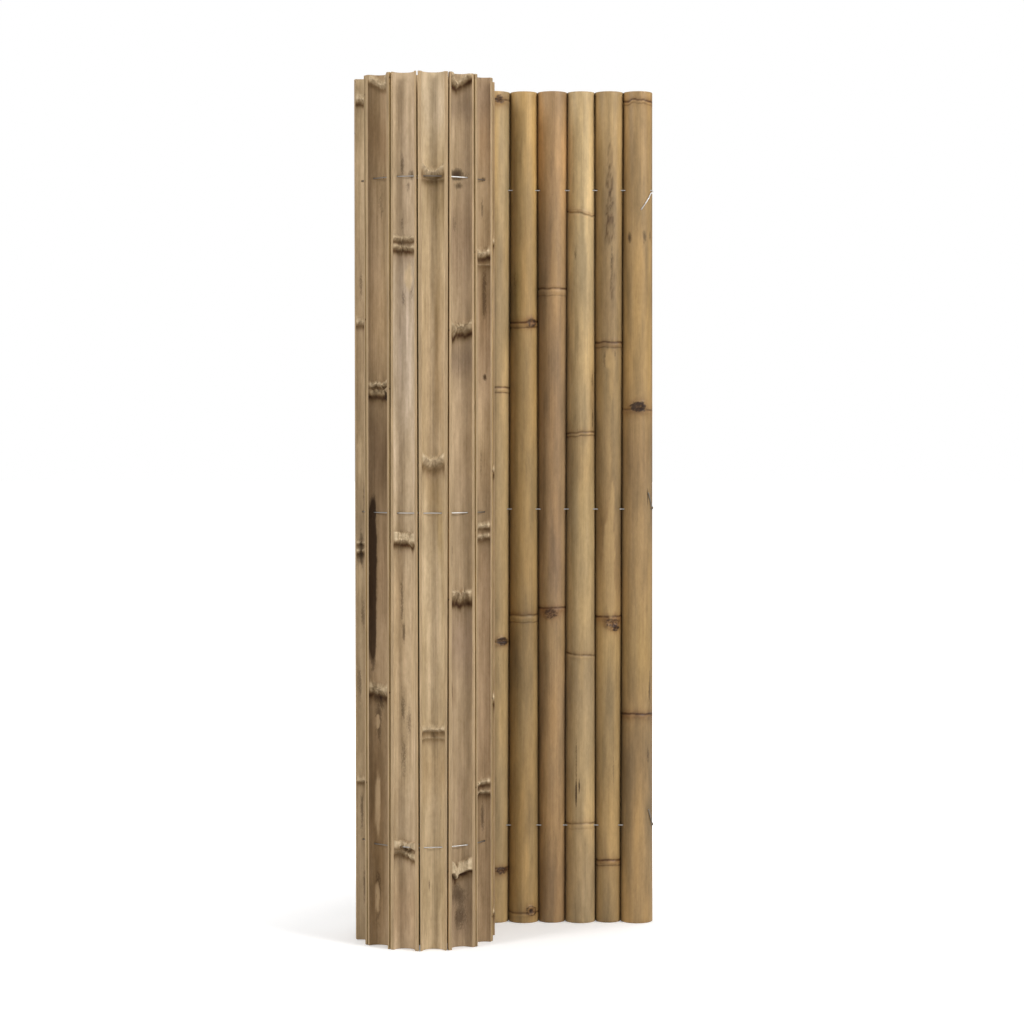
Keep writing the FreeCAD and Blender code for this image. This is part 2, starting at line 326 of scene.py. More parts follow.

# Remains of the wall across a joint on the hollow side, by slat and joint from the foot:
# edge's height from the joint, rise, ramp above it (negative for a flat plate), raggedness, curve,
# tilt, tooth u, tooth drop, fall of the broken face under the edge, darkness of the painted shade on
# that face, reach of the painted shadow below it
LIPS = {
    ("slat_13", 0): [(1, 5.0, 9, 1.2, 0.0, 0.0, 0, 0, 4, 0.6, 5)],
    ("slat_13", 1): [(-1, 5.0, 6, 1.6, 0.0, 0.1, 0, 2, 4, 0.75, 9),
                     (7, 4.0, 5, 1.6, 0.0, 0.0, 3, 2, 3, 0.6, 3)],
    ("slat_13", 2): [(1, 5.5, 9, 1.5, 0.0, 0.0, 0, 2, 5, 0.7, 7)],
    ("slat_13", 3): [(0, 5.5, 14, 1.5, 1.0, 0.0, 0, 3, 6, 0.8, 6)],
    ("slat_14", 0): [(3, 6.0, 12, 1.2, 3.0, 0.05, 4, 1, 9, 0.8, 18)],
    ("slat_14", 1): [(0, 5.5, 5, 1.4, 1.0, 0.0, -6, 1, 8, 0.85, 8),
                     (9, 4.5, 6, 1.8, 0.0, 0.1, -5, 2, 5, 0.7, 3)],
    ("slat_14", 2): [(-2, 6.0, 12, 0.6, 5.0, 0.0, 0, 0, 6, 0.5, 6)],
    ("slat_15", 0): [(-2, 5.5, -5, 1.6, 0.0, -0.28, 6, 2, 5, 0.7, 8),
                     (6, 5.0, -7, 1.4, 0.0, -0.05, 3, 2, 3.5, 0.7, 3)],
    ("slat_15", 1): [(4, 5.5, -10, 1.0, 0.5, 0.0, 7, 4.0, 6, 0.85, 8)],
    ("slat_15", 2): [(-2, 5.5, 6, 2.0, 1.0, 0.0, 0, 0, 5, 0.85, 9),
                     (9, 4.0, 6, 1.5, 0.0, 0.05, 4, 1, 5, 0.7, 4)],
    ("slat_16", 0): [(5.5, 5.5, 9, 0.5, 0.8, 0.0, 0, 0, 4, 0.62, 9),
                     (-4, 1.4, 3, 0.2, 0.0, 0.0, 0, 0, 2, 0.4, 6)],
    ("slat_16", 1): [(6, 6.0, 9, 0.6, 3.5, 0.0, -5, 1, 11, 0.6, 16)],
    ("slat_16", 2): [(5, 5.5, 8, 0.4, 4.5, 0.0, 0, 0, 8, 0.62, 14),
                     (-4, 1.4, 3, 0.4, 1.0, 0.0, 0, 0, 2, 0.4, 7)],
    ("slat_17", 0): [(-2, 5.5, -15, 0.5, 3.5, 0.1, -2.5, 5, 2.0, 0.9, 16)],
    ("slat_17", 1): [(9, 6.0, 6, 2.4, 1.0, 0.0, 3, 2, 14, 0.9, 9)],
    ("slat_17", 2): [(6, 6.0, 7, 2.2, 3.0, 0.06, -5, 2, 11, 0.88, 11)],
    ("slat_17", 3): [(-1, 6.0, 10, 0.8, 6.0, 0.0, 0, 2, 6, 0.9, 11)],
    ("slat_18", 0): [(6, 5.0, 7, 1.0, 1.0, 0.05, 5, 2, 5, 0.75, 5),
                     (-4, 4.5, 4, 1.0, 0.0, 0.0, 3, 2, 4, 0.7, 14)],
    ("slat_18", 1): [(7, 5.0, 8, 1.2, 1.0, 0.0, 0, 1, 5, 0.6, 5),
                     (-5, 4.0, 6, 1.2, 1.0, 0.0, 0, 1, 5, 0.6, 9)],
    ("slat_18", 2): [(4, 5.5, 9, 1.2, 1.5, 0.0, 11, 1, 7, 0.85, 8),
                     (-9, 1.2, 3, 0.3, 0.0, 0.0, 0, 0, 2, 0.4, 8)],
}

# Rings on the round side, by slat and joint from the foot: height of the main line above the joint,
# tilt, wave, darkness, second line's height and darkness, brown above the line, brown below it
RINGS = {
    ("slat_01", 0): (1.7, 0.0, 1.0, 1.3, 0, 0.0, 0.8, 1.1),
    ("slat_01", 1): (1.0, 0.0, 0.6, 0.7, 0, 0.0, 0.2, 0.5),
    ("slat_01", 2): (0.0, 0.0, 1.5, 1.3, -4.0, 0.55, 0.7, 0.4),
    ("slat_02", 0): (5.3, 0.0, 0.8, 1.1, -1.4, 0.8, 0.4, 0.9),
    ("slat_02", 1): (6.5, 0.05, 0.6, 1.1, 0, 0.0, 0.5, 1.0),
    ("slat_02", 2): (5.6, 0.0, 0.5, 1.2, -0.7, 0.75, 0.3, 0.8),
    ("slat_03", 0): (3.4, 0.02, 0.5, 0.6, -3.0, 0.2, 0.35, 0.1),
    ("slat_03", 1): (2.7, -0.1, 0.6, 0.65, 0, 0.0, 0.45, 0.1),
    ("slat_03", 2): (5.3, 0.06, 0.6, 0.65, 1.0, 0.75, 0.35, 0.5),
    ("slat_03", 3): (1.5, -0.15, 1.2, 0.8, 4.5, 0.3, 0.6, 0.1),
    ("slat_04", 0): (5.3, 0.0, 0.5, 0.95, 0, 0.0, 0.4, 0.9),
    ("slat_04", 1): (5.7, 0.0, 0.4, 0.9, -2.8, 0.5, 0.2, -0.2),
    ("slat_05", 0): (2.0, 0.0, 0.6, 0.7, 0, 0.0, 0.4, 0.2),
    ("slat_05", 1): (8.4, 0.02, 0.5, 0.7, -0.2, 0.75, 0.75, -0.1),
    ("slat_05", 2): (3.6, 0.02, 1.0, 0.95, -2.7, 0.85, 0.65, 0.7),
    ("slat_06", 0): (4.0, 0.0, 0.8, 0.9, 0.5, 0.5, 0.4, 1.0),
    ("slat_06", 1): (2.0, 0.0, 0.6, 0.7, 0, 0.0, 0.3, 0.4),
    ("slat_06", 2): (4.1, 0.0, 0.5, 0.95, -2.4, 0.9, 0.2, 0.4),
    ("slat_06", 3): (0.0, 0.0, 1.0, 0.6, 0, 0.0, 0.4, 0.4),
}

# Knots on the round side: u, height, half width, half height, proud, sunk, darkness, pale heart
# (0 for a knot with a dark ring)
KNOTS = {
    "slat_01": [(0.5, 623.0, 9.5, 7.0, 1.2, 1.6, 1.0, 0.45)],
    "slat_02": [(4.5, 362.5, 10.0, 7.0, 1.1, 0.4, 0.5, 0.12),
                (8.0, 357.0, 4.0, 4.5, 0.8, 0.8, 0.85, 0.2)],
    "slat_04": [(-2.0, 374.0, 9.0, 6.5, 0.8, 0.3, 0.5, 0.12)],
    "slat_05": [(9.0, 724.0, 5.5, 6.0, 1.3, -0.6, 0.72, 0.5),
                (9.1, 15.0, 5.5, 5.5, 1.4, 1.2, 0.95, 0.0)],
    "slat_06": [(6.0, 990.0, 6.0, 6.5, 0.9, 0.8, 0.72, 0.25),
                (9.6, 341.0, 7.0, 5.5, 1.0, 0.9, 1.0, 0.4),
                (9.0, 63.0, 7.0, 5.0, 0.4, 0.2, 0.62, 0.2)],
}

SKIN_TONES = [(176, 147, 102), (184, 156, 112), (168, 138, 98), (178, 150, 104), (170, 142, 94)]
HOLLOW_TONES = [(182, 157, 122), (168, 143, 110), (190, 166, 130), (160, 134, 100), (176, 150, 116)]
RAW_TONE = srgb(160, 136, 104)
LIP_TONE = srgb(196, 172, 135)
PALER = np.array([1.16, 1.15, 1.12])

# On the hollow side pale bamboo is greyer and dark bamboo browner than the mean tone
HOLLOW_MEAN = srgb(166, 141, 108)
BLEACH = np.array([1.0, 1.08, 1.24])

# How much red, green and blue a full mark takes away
RING_DYE = np.array([0.66, 0.74, 0.8])
BROWN_DYE = np.array([0.34, 0.44, 0.5])
KNOT_DYE = np.array([0.56, 0.75, 0.9])
# Painted shadow under the remains at the joints of the hollow side
UNDER_LIP_SHADE = np.array([0.95, 1.0, 1.03])
LOOP_DYE = np.array([0.82, 0.92, 1.0])

# How the hue of bamboo shifts with its brightness along a slat
SKIN_SHIFT = np.array([0.1, 0.0, -0.24])
HOLLOW_SHIFT = np.array([0.0, 0.0, 0.06])


def ring_of(slat, k):
    """Ring of a joint: the one in the list, or one made up."""
    if (slat["name"], k) in RINGS:
        return RINGS[slat["name"], k]
    seed = slat["seed"]
    tilt = 0.08 * (chance(seed, k) - 0.5)
    line = 0.5 + 0.4 * chance(seed, k + 9)
    second = 0.7 * chance(seed, k + 17)
    above = 0.4 * chance(seed, k + 21)
    below = 0.15 + 0.3 * chance(seed, k + 23)
    return 3.0, tilt, 0.6, line, -4.0, second, above, below


def lips_of(slat, k):
    """Remains of the wall at a joint: those in the list, or one made up."""
    if (slat["name"], k) in LIPS:
        return LIPS[slat["name"], k]
    seed = slat["seed"]
    ramp = 6 + 6 * chance(seed, k)
    curve = 4 * chance(seed, k + 5)
    tilt = 0.1 * (chance(seed, k + 11) - 0.5)
    tooth = 10 * (chance(seed, k + 15) - 0.5)
    drop = 3 * chance(seed, k + 19)
    fall = 4 + 5 * chance(seed, k + 25)
    shade_reach = 7 + 8 * chance(seed, k + 21)
    return [(1, 5.5, ramp, 1.4, curve, tilt, tooth, drop, fall, 0.75, shade_reach)]


def round_side(slat, u, z):
    """Height of the rings and knots of the round side, their tint, and how dark the knots are."""
    seed = slat["seed"]
    rise = 0.25 * (clouds(u / 30.0, z / 90.0, seed) - 0.5)
    tint = np.ones(z.shape + (3,))
    dark = np.zeros(z.shape)
    for k, h in enumerate(slat["joints"]):
        lift, tilt, wave, line, drop, second, above, below = ring_of(slat, k)
        row = 0 * z + k
        rel = z - h - tilt * u - wave * 2.6 * (cloud(u / 6.0, row, seed + 3) - 0.5)
        rel -= 0.5 * wave * (cloud(u / 1.7, row, seed + 5) - 0.5)
        low = drop if second > 0.0 else lift - 6.0
        rise += 0.85 * bell(rel - (lift + low) / 2, 2.4)
        rise -= 0.55 * bell(rel - lift, 0.9) + 0.5 * second * bell(rel - drop, 0.8)
        rise += 0.3 * bell(rel - lift - 3.0, 2.5)
        uneven = 0.5 + 0.9 * clouds(u / 3.5, rel / 3.0, seed + 31 + k)
        sides = 1 + 0.35 * smooth(8.0, 15.0, np.abs(u))
        cut = line * uneven * sides * bell(rel - lift, 1.1)
        cut = np.maximum(cut, second * uneven * bell(rel - drop, 0.8))
        brown = above * np.where(rel > lift, bell(rel - lift, 6.0), 0)
        brown = brown + below * np.where(rel <= lift, bell(rel - lift, 8.0), 0)
        tint *= 1 - np.clip(cut, 0, 1)[..., None] * RING_DYE
        tint *= 1 + (0.13 * uneven * bell(rel - lift + 2.4, 0.9))[..., None]
        tint *= 1 - np.clip(brown * uneven, -0.5, 1)[..., None] * BROWN_DYE
    for u0, z0, half_u, half_z, proud, sunk, dull, heart in KNOTS.get(slat["name"], []):
        warp = 0.45 * (clouds(u / 3.0, z / 3.0, seed + 41) - 0.5)
        far = oval(u, z, u0, z0, half_u, half_z) + warp
        rough = clouds(u / 1.2, z / 1.2, seed + 43) - 0.5
        rise += proud * bell(far - 0.8, 0.3) - sunk * bell(far, 0.5)
        rise += 1.8 * rough * bell(far, 1.0)
        tint *= 1 - (0.68 * bell(far, 1.2))[..., None] * KNOT_DYE
        if heart == 0.0:
            spot = (0.6 * bell(far - 0.95, 0.2) + bell(far, 0.5, 4)) * (1 + 2.0 * rough)
        else:
            spot = bell(far, 0.95, 6) * (1 - heart * bell(far, 0.55, 4)) * (1 + 1.6 * rough)
        dark = np.maximum(dark, dull * spot)
        glow = heart * bell(far, 0.5, 4) * (0.9 + 2.0 * rough)
        tint *= 1 + 0.9 * glow[..., None]
    return rise, tint, dark


def hollow_side(slat, u, z):
    """How far the remains at the joints stand in from the bore, their raw edges, and the tint of
    painted shade on their broken faces and painted shadow below them.
    """
    seed = slat["seed"]
    rise = np.zeros(z.shape)
    raw = np.zeros(z.shape)
    tint = np.ones(z.shape + (3,))
    for k, h in enumerate(slat["joints"]):
        for n, lip in enumerate(lips_of(slat, k)):
            lower, high, ramp, ragged, curve, tilt, tooth, drop, fall, gloom, shade_reach = lip
            plate = ramp < 0
            ramp = abs(ramp)
            row = 0 * z + k + 0.37 * n
            edge = h + lower + tilt * u + curve * (u / 12.0) ** 2
            edge += 1.4 * ragged * (cloud(u / 6.0, row, seed + 52) - 0.5)
            edge += 1.7 * ragged * (clouds(u / 1.5, row, seed + 51) - 0.5)
            edge -= drop * bell(u - tooth, 2.2)
            rel = z - edge
            down = np.maximum(-rel, 0)
            if plate:
                slope = smooth(1.0, 0.7, rel / ramp)
                pale = smooth(1.0, 0.8, rel / ramp)
            else:
                slope = np.clip(1 - rel / ramp, 0, 1) ** 1.8
                pale = np.clip(1.1 - rel / (0.6 * ramp), 0, 1)
            body = np.where(rel > 0, slope, np.clip(1 - down / fall, 0, 1) ** 1.5)
            rough = 1 + (0.12 + 0.3 * ragged) * (clouds(u / 2.2, z / 1.6, seed + 53) - 0.5)
            rise = np.maximum(rise, 0.85 * high * body * rough)
            raw = np.maximum(raw, np.where(rel > -fall, pale, 0))
            patchy = 0.75 + 0.5 * clouds(u / 2.5, z / 4.0, seed + 57)
            # Painted shade on the broken face under the edge, and a painted shadow below it
            beyond = np.maximum(down - fall, 0)
            under_shade = 0.65 * bell(beyond, 2.0 + 0.3 * shade_reach) + 0.35 * np.exp(-beyond / shade_reach)
            under_shade = gloom * patchy * np.clip(0.2 + 0.8 * down / fall, 0, 1) * under_shade
            under_shade = np.where(rel < 0, np.minimum(under_shade, 0.92), 0)
            tint *= 1 - under_shade[..., None] * UNDER_LIP_SHADE
    return rise, raw, tint


def marks(look, u, z, seed):
    """Soft tints, dark marks and pale marks of a slat."""
    tint = np.ones(z.shape + (3,))
    # Soft tints, among them painted light from above at the tops of the flap's slats
    for u0, z0, half_u, half_z, r, g, b in look.get("shade", []):
        warp_u = half_u * 0.6 * (clouds(u / 9.0, z / 45.0, seed + 61) - 0.5)
        warp_z = half_z * 0.6 * (clouds(u / 5.0, z / 60.0, seed + 63) - 0.5)
        amount = np.exp(-((u - u0 + warp_u) / half_u) ** 4 - ((z - z0 + warp_z) / half_z) ** 2)
        tint *= 1 + amount[..., None] * (np.array([r, g, b]) - 1)
    spots = {}
    for kind in ("dark", "pale"):
        spots[kind] = np.zeros(z.shape)
        for u0, z0, half_u, half_z, strength in look.get(kind, []):
            warp = 0.7 * (clouds(u / 4.0, z / 12.0, seed + 67) - 0.5)
            far = oval(u, z, u0, z0, half_u, half_z) + warp
            spots[kind] = np.maximum(spots[kind], strength * np.exp(-far ** 2 * 0.7))
    for u0, z0, half_u, half_z, strength in look.get("loops", []):
        warp = 1.3 * (clouds(u / 2.2, z / 7.0, seed + 69) - 0.5)
        far = oval(u, z, u0, z0, half_u, half_z) + warp
        broken = 0.3 + 1.1 * clouds(u / 1.6, z / 3.5, seed + 65)
        line = strength * bell(far - 0.85, 0.2) * broken
        line = line + 0.3 * strength * bell(far, 1.0, 4)
        tint *= 1 - np.clip(line, 0, 0.8)[..., None] * LOOP_DYE
    return tint, spots["dark"], smooth(0.26, 0.46, spots["pale"])


def with_marks(tone, dark, ground, look, u, z, seed):
    """Tones and darkness of a side with the slat's marks on it."""
    tint, spots, bare = marks(look, u, z, seed)
    tone = tone * tint * (1 - bare[..., None]) + ground * PALER * bare[..., None]
    return tone, np.maximum(dark, spots * (1 - bare))


# Slats

def turns_round(radius, near, middle):
    """Angles from split edge to split edge over the crown, with lines at the sides of the holes."""
    start = np.arcsin(SPLIT / radius)
    below = np.arcsin((WIRE_DEPTH - HOLE / 2) / radius)
    above = np.arcsin((WIRE_DEPTH + HOLE / 2) / radius)
    side = start[:, None] + (below - start)[:, None] * np.linspace(0, 1, near + 1)
    over = above[:, None] + (math.pi - 2 * above)[:, None] * np.linspace(0, 1, middle + 1)
    return np.hstack([side, over, math.pi - side[:, ::-1]])


def row_heights(joints, places, step, fine):
    """Heights of the rows of points: close together at joints and marks, and at sides of holes."""
    fixed = [0.0, BEVEL_HIGH, LENGTH - BEVEL_HIGH, LENGTH]
    for h in WIRES.values():
        fixed += [h - HOLE / 2, h + HOLE / 2]
    rows = [np.arange(step, LENGTH, step)]
    for h in joints:
        rows.append(np.arange(h - ROWS_BELOW_JOINT, h + ROWS_ABOVE_JOINT, fine))
    for h, half in places:
        rows.append(np.arange(h - half, h + half, max(fine, half / 8)))
    rows = np.sort(np.concatenate(rows))
    kept = []
    for h in rows:
        inside = 0.9 < h < LENGTH - 0.9
        free = inside and all(abs(h - w) > HOLE / 2 + 0.4 for w in WIRES.values())
        if free and (not kept or h - kept[-1] > 0.7 * fine):
            kept.append(h)
    return np.sort(np.array(kept + fixed))


def skin_strip(slat, look, z):
    """Points of the round side: places across and out from the split, heights, tones, dark marks."""
    number = slat["number"]
    seed = slat["seed"]
    radius = radius_at(slat["radii"], z)
    turn = turns_round(radius, *SKIN_STEPS[slat["flap"]])
    tall = np.repeat(z[:, None], turn.shape[1], axis=1)
    u = -radius[:, None] * np.cos(turn) * slat["side"]
    rise, tint, dark = round_side(slat, u, tall)
    from_end = np.minimum(tall, LENGTH - tall)
    fade = np.sin(turn) * smooth(0.0, 4.0, from_end)
    swell = SWELL * np.cos(turn) ** 8 * (1.0 if slat["flap"] else ROLL_SWELL)
    reach = radius[:, None] + rise * fade + swell
    reach -= BEVEL_DEEP * smooth(BEVEL_HIGH, 0.0, from_end)
    skin = srgb(*look.get("skin", SKIN_TONES[number % len(SKIN_TONES)]))
    shift = clouds(u / 14.0 + 3 * number, tall / 130.0, seed + 71) - 0.5
    patch = clouds(u / 5.0, tall / 42.0, seed + 73) - 0.5
    tone = skin * (1 + 0.6 * shift + 0.44 * patch)[..., None]
    tone = tone * (1 + shift[..., None] * SKIN_SHIFT) * tint
    if slat["flap"]:
        # Painted shade: each flap slat darkens towards its split edges, in the grooves between slats,
        # and half as much on its right side, which faces the key light
        groove_shade = 0.05 + 0.52 * clouds(u / 40.0, tall / 55.0, seed + 77)
        groove_shade = groove_shade * (1 - 0.5 * smooth(0.0, 12.0, u))
        tone = tone * (1 - groove_shade * smooth(0.76, 0.985, np.abs(np.cos(turn))))[..., None]
        tone, dark = with_marks(tone, dark, skin, look, u, tall, seed)
    return {"x": -reach * np.cos(turn), "d": np.maximum(reach * np.sin(turn), SPLIT), "tall": tall,
            "tone": tone, "dark": dark, "raw": np.zeros(tall.shape)}


def hollow_strip(slat, look, z):
    """Points of the hollow side, with the same values, and how raw the broken walls are."""
    number = slat["number"]
    seed = slat["seed"]
    bore = np.full(z.shape, sum(slat["radii"]) / 2 - WALL)
    turn = turns_round(bore, *HOLLOW_STEPS[slat["front"]])[:, ::-1]
    tall = np.repeat(z[:, None], turn.shape[1], axis=1)
    u = -bore[:, None] * np.cos(turn) * slat["side"]
    lift, raw, lip_shade = hollow_side(slat, u, tall)
    wide = smooth(0.06, 0.3, np.sin(turn))
    lift = lift * wide
    uneven = 0.5 * (clouds(u / 9.0, tall / 70.0, seed + 81) - 0.5)
    reach = bore[:, None] - lift - uneven * wide
    raw = raw * smooth(0.3, 1.6, lift)
    hollow = srgb(*look.get("hollow", HOLLOW_TONES[(number * 3) % len(HOLLOW_TONES)]))
    shift = clouds(u / 12.0 + 5 * number, tall / 110.0, seed + 83) - 0.5
    patch = clouds(u / 4.0, tall / 36.0, seed + 87) - 0.5
    tone = hollow * (1 + 0.4 * shift + 0.34 * patch)[..., None]
    tone = tone * (1 + shift[..., None] * HOLLOW_SHIFT)
    dark = np.zeros(tall.shape)
    if slat["front"]:
        tone, dark = with_marks(tone, dark, hollow, look, u, tall, seed)
    lip_light = 0.48 + 0.76 * clouds(u / 1.3, tall / 3.5, seed)
    tone = tone * (1 - raw[..., None]) + LIP_TONE * (raw * lip_light)[..., None]
    # Painted shade and shadow under the remains at the joints
    tone = np.maximum(tone * lip_shade, 0.002)
    tone = HOLLOW_MEAN * (tone / HOLLOW_MEAN) ** BLEACH
    return {"x": -reach * np.cos(turn), "d": np.maximum(reach * np.sin(turn), SPLIT), "tall": tall,
            "tone": tone, "dark": dark, "raw": raw}


def split_edges(skin, hollow, seed):
    """The two split faces between the sides, a little chipped."""
    tall = skin["tall"][:, :len(EDGE_SHARES)]
    chips = 0.5 * clouds(tall / 3.0, tall / 23.0, seed + 91) ** 2
    first = skin["x"][:, -1:] * (1 - EDGE_SHARES) + hollow["x"][:, :1] * EDGE_SHARES
    last = hollow["x"][:, -1:] * (1 - EDGE_SHARES) + skin["x"][:, :1] * EDGE_SHARES
    d = SPLIT + chips * EDGE_CHIPS
    light = 0.82 + 0.36 * clouds(first / 3, tall / 30, seed + 93)
    tone = np.ones(first.shape + (3,)) * RAW_TONE * light[..., None]
    zero = np.zeros(first.shape)
    common = {"tall": tall, "tone": tone, "dark": zero, "raw": zero}
    return dict(common, x=first, d=d), dict(common, x=last, d=d[:, ::-1])


def wire_holes(index, z, columns):
    """Cells left out for the wires on both sides of a slat, and walls of the passages between."""
    keep = np.ones((index.shape[0] - 1, index.shape[1]), bool)
    walls = []
    for h in WIRES.values():
        r = int(np.argmin(np.abs(z - (h - HOLE / 2))))
        for co, ci in columns:
            keep[r, co] = False
            keep[r, ci] = False
            ring_out = [index[r, co], index[r, co + 1], index[r + 1, co + 1], index[r + 1, co]]
            ring_in = [index[r, ci + 1], index[r, ci], index[r + 1, ci], index[r + 1, ci + 1]]
            for k in range(4):
                n = (k + 1) % 4
                walls.append([ring_out[k], ring_out[n], ring_in[n], ring_in[k]])
    return keep, walls


def give(mesh, name, kind, field, values):
    """A value for each point of a mesh."""
    mesh.attributes.new(name, kind, "POINT").data.foreach_set(field, values)


def build_slat(number):
    """The dressed piece of a slat."""
    slat = read_slat(number)
    name = slat["name"]
    look = LOOKS.get(name, {})
    places = []
    for mark in look.get("dark", []) + look.get("pale", []):
        if mark[3] < SHORT_MARK:
            places.append((mark[1], mark[3] * 1.6))
    z = row_heights(slat["joints"], places, *ROW_STEPS[slat["flap"] or slat["front"]])
    skin = skin_strip(slat, look, z)
    hollow = hollow_strip(slat, look, z)
    first, last = split_edges(skin, hollow, slat["seed"])
    whole = {}
    for key in skin:
        whole[key] = np.hstack([strip[key] for strip in (skin, first, hollow, last)])
    x = whole["x"]
    d = whole["d"]
    tall = whole["tall"]
    spots = np.empty(x.shape + (3,))
    spots[..., :2] = slat["axis"] + x[..., None] * slat["across"] + d[..., None] * slat["crown"]
    spots[..., 2] = tall

    # Faces between the rows, with holes for the wires, and the two sawn ends
    rows, cols = x.shape
    n_out = skin["x"].shape[1]
    n_in = hollow["x"].shape[1]
    n_edge = len(EDGE_SHARES)
    index = np.arange(rows * cols).reshape(rows, cols)
    ahead = np.roll(index, -1, axis=1)
    quads = np.stack([index[:-1], ahead[:-1], ahead[1:], index[1:]], axis=-1)
    widths = [n_out - 1, n_edge + 1, n_in - 1, n_edge + 1]
    kinds = np.repeat(np.repeat([SKIN, EDGE, HOLLOW, EDGE], widths)[None, :], rows - 1, axis=0)
    near_out = SKIN_STEPS[slat["flap"]][0]
    near_in = HOLLOW_STEPS[slat["front"]][0]
    base = n_out + n_edge
    columns = [(near_out, base + n_in - 2 - near_in), (n_out - 2 - near_out, base + near_in)]
    keep, walls = wire_holes(index, z, columns)
    faces = quads[keep].tolist() + walls
    kinds = kinds[keep].tolist() + [EDGE] * len(walls)
    faces += [index[0, ::-1].tolist(), index[-1].tolist()]
    kinds += [END, END]

    mesh = bpy.data.meshes.new(name + "_look")
    mesh.from_pydata((spots.reshape(-1, 3) * MM).tolist(), [], faces)
    mesh.polygons.foreach_set("material_index", kinds)
    mesh.polygons.foreach_set("use_smooth", [k != END for k in kinds])
    mesh.update()
    mesh.set_sharp_from_angle(angle=math.radians(48))
    rgba = np.ones((rows * cols, 4), np.float32)
    rgba[:, :3] = np.clip(whole["tone"].reshape(-1, 3), 0.004, 0.95)
    give(mesh, "tone", "FLOAT_COLOR", "color", rgba.ravel())
    rgba[:, 0] = whole["dark"].ravel()
    rgba[:, 1] = whole["raw"].ravel()
    rgba[:, 2] = 0.0
    give(mesh, "marks", "FLOAT_COLOR", "color", rgba.ravel())
    grain = np.stack([x + 60.0 * number, d, tall + 370.0 * number], axis=-1).reshape(-1, 3) * MM
    give(mesh, "grain", "FLOAT_VECTOR", "vector", grain.astype(np.float32).ravel())
    for m in (skin_material, hollow_material, edge_material, end_material):
        mesh.materials.append(m)
    piece = bpy.data.objects.new(name + "_look", mesh)
    bpy.context.scene.collection.objects.link(piece)
    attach(piece, "root")
    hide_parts(name)
    return slat


# Materials

def add(tree, kind, inputs=(), **settings):
    """A node with its settings, and its inputs set or linked."""
    node = tree.nodes.new(kind)
    for key, value in settings.items():
        setattr(node, key, value)
    for key, value in dict(inputs).items():
        if isinstance(value, bpy.types.NodeSocket):
            tree.links.new(value, node.inputs[key])
        else:
            node.inputs[key].default_value = value
    return node


def maths(tree, operation, a, b=0.0, c=0.0):
    """Result of a sum on numbers."""
    return add(tree, "ShaderNodeMath", {0: a, 1: b, 2: c}, operation=operation).outputs[0]


def vectors(tree, operation, inputs):
    """Result of a sum on vectors."""
    return add(tree, "ShaderNodeVectorMath", inputs, operation=operation).outputs[0]


def fitted(tree, value, low, high, start, end, **settings):
    """A value moved from the range low to high into the range start to end."""
    places = {0: value, 1: low, 2: high, 3: start, 4: end}
    return add(tree, "ShaderNodeMapRange", places, **settings).outputs[0]


def blend(tree, amount, a, b):
    """Mix of two colours."""
    return add(tree, "ShaderNodeMix", {0: amount, 6: a, 7: b}, data_type="RGBA").outputs[2]


def noise(tree, inputs):
    """Noise from 0 to 1."""
    return add(tree, "ShaderNodeTexNoise", inputs).outputs[0]


def grain_noise(tree, vector, across, along, detail, rough=0.55):
    """Noise drawn out along the slat."""
    scaled = vectors(tree, "MULTIPLY", {0: vector, 1: (across, across, along)})
    return noise(tree, {"Vector": scaled, "Scale": 1.0, "Detail": detail, "Roughness": rough})


def point_value(tree, name, output):
    """A value given to the points of the mesh."""
    return add(tree, "ShaderNodeAttribute", attribute_name=name).outputs[output]


def relief(tree, shader, strength, distance, height):
    """Small relief on the surface."""
    inputs = {"Strength": strength, "Distance": distance, "Height": height}
    tree.links.new(add(tree, "ShaderNodeBump", inputs).outputs[0], shader.inputs["Normal"])


def start_material(name):
    """A material with a plain shader."""
    material = bpy.data.materials.new(name)
    material.use_nodes = True
    tree = material.node_tree
    tree.nodes.clear()
    out = add(tree, "ShaderNodeOutputMaterial")
    shader = add(tree, "ShaderNodeBsdfPrincipled")
    tree.links.new(shader.outputs[0], out.inputs[0])
    return material, tree, shader


# What a full dark mark leaves of the colour
STAIN = (0.125, 0.092, 0.066)


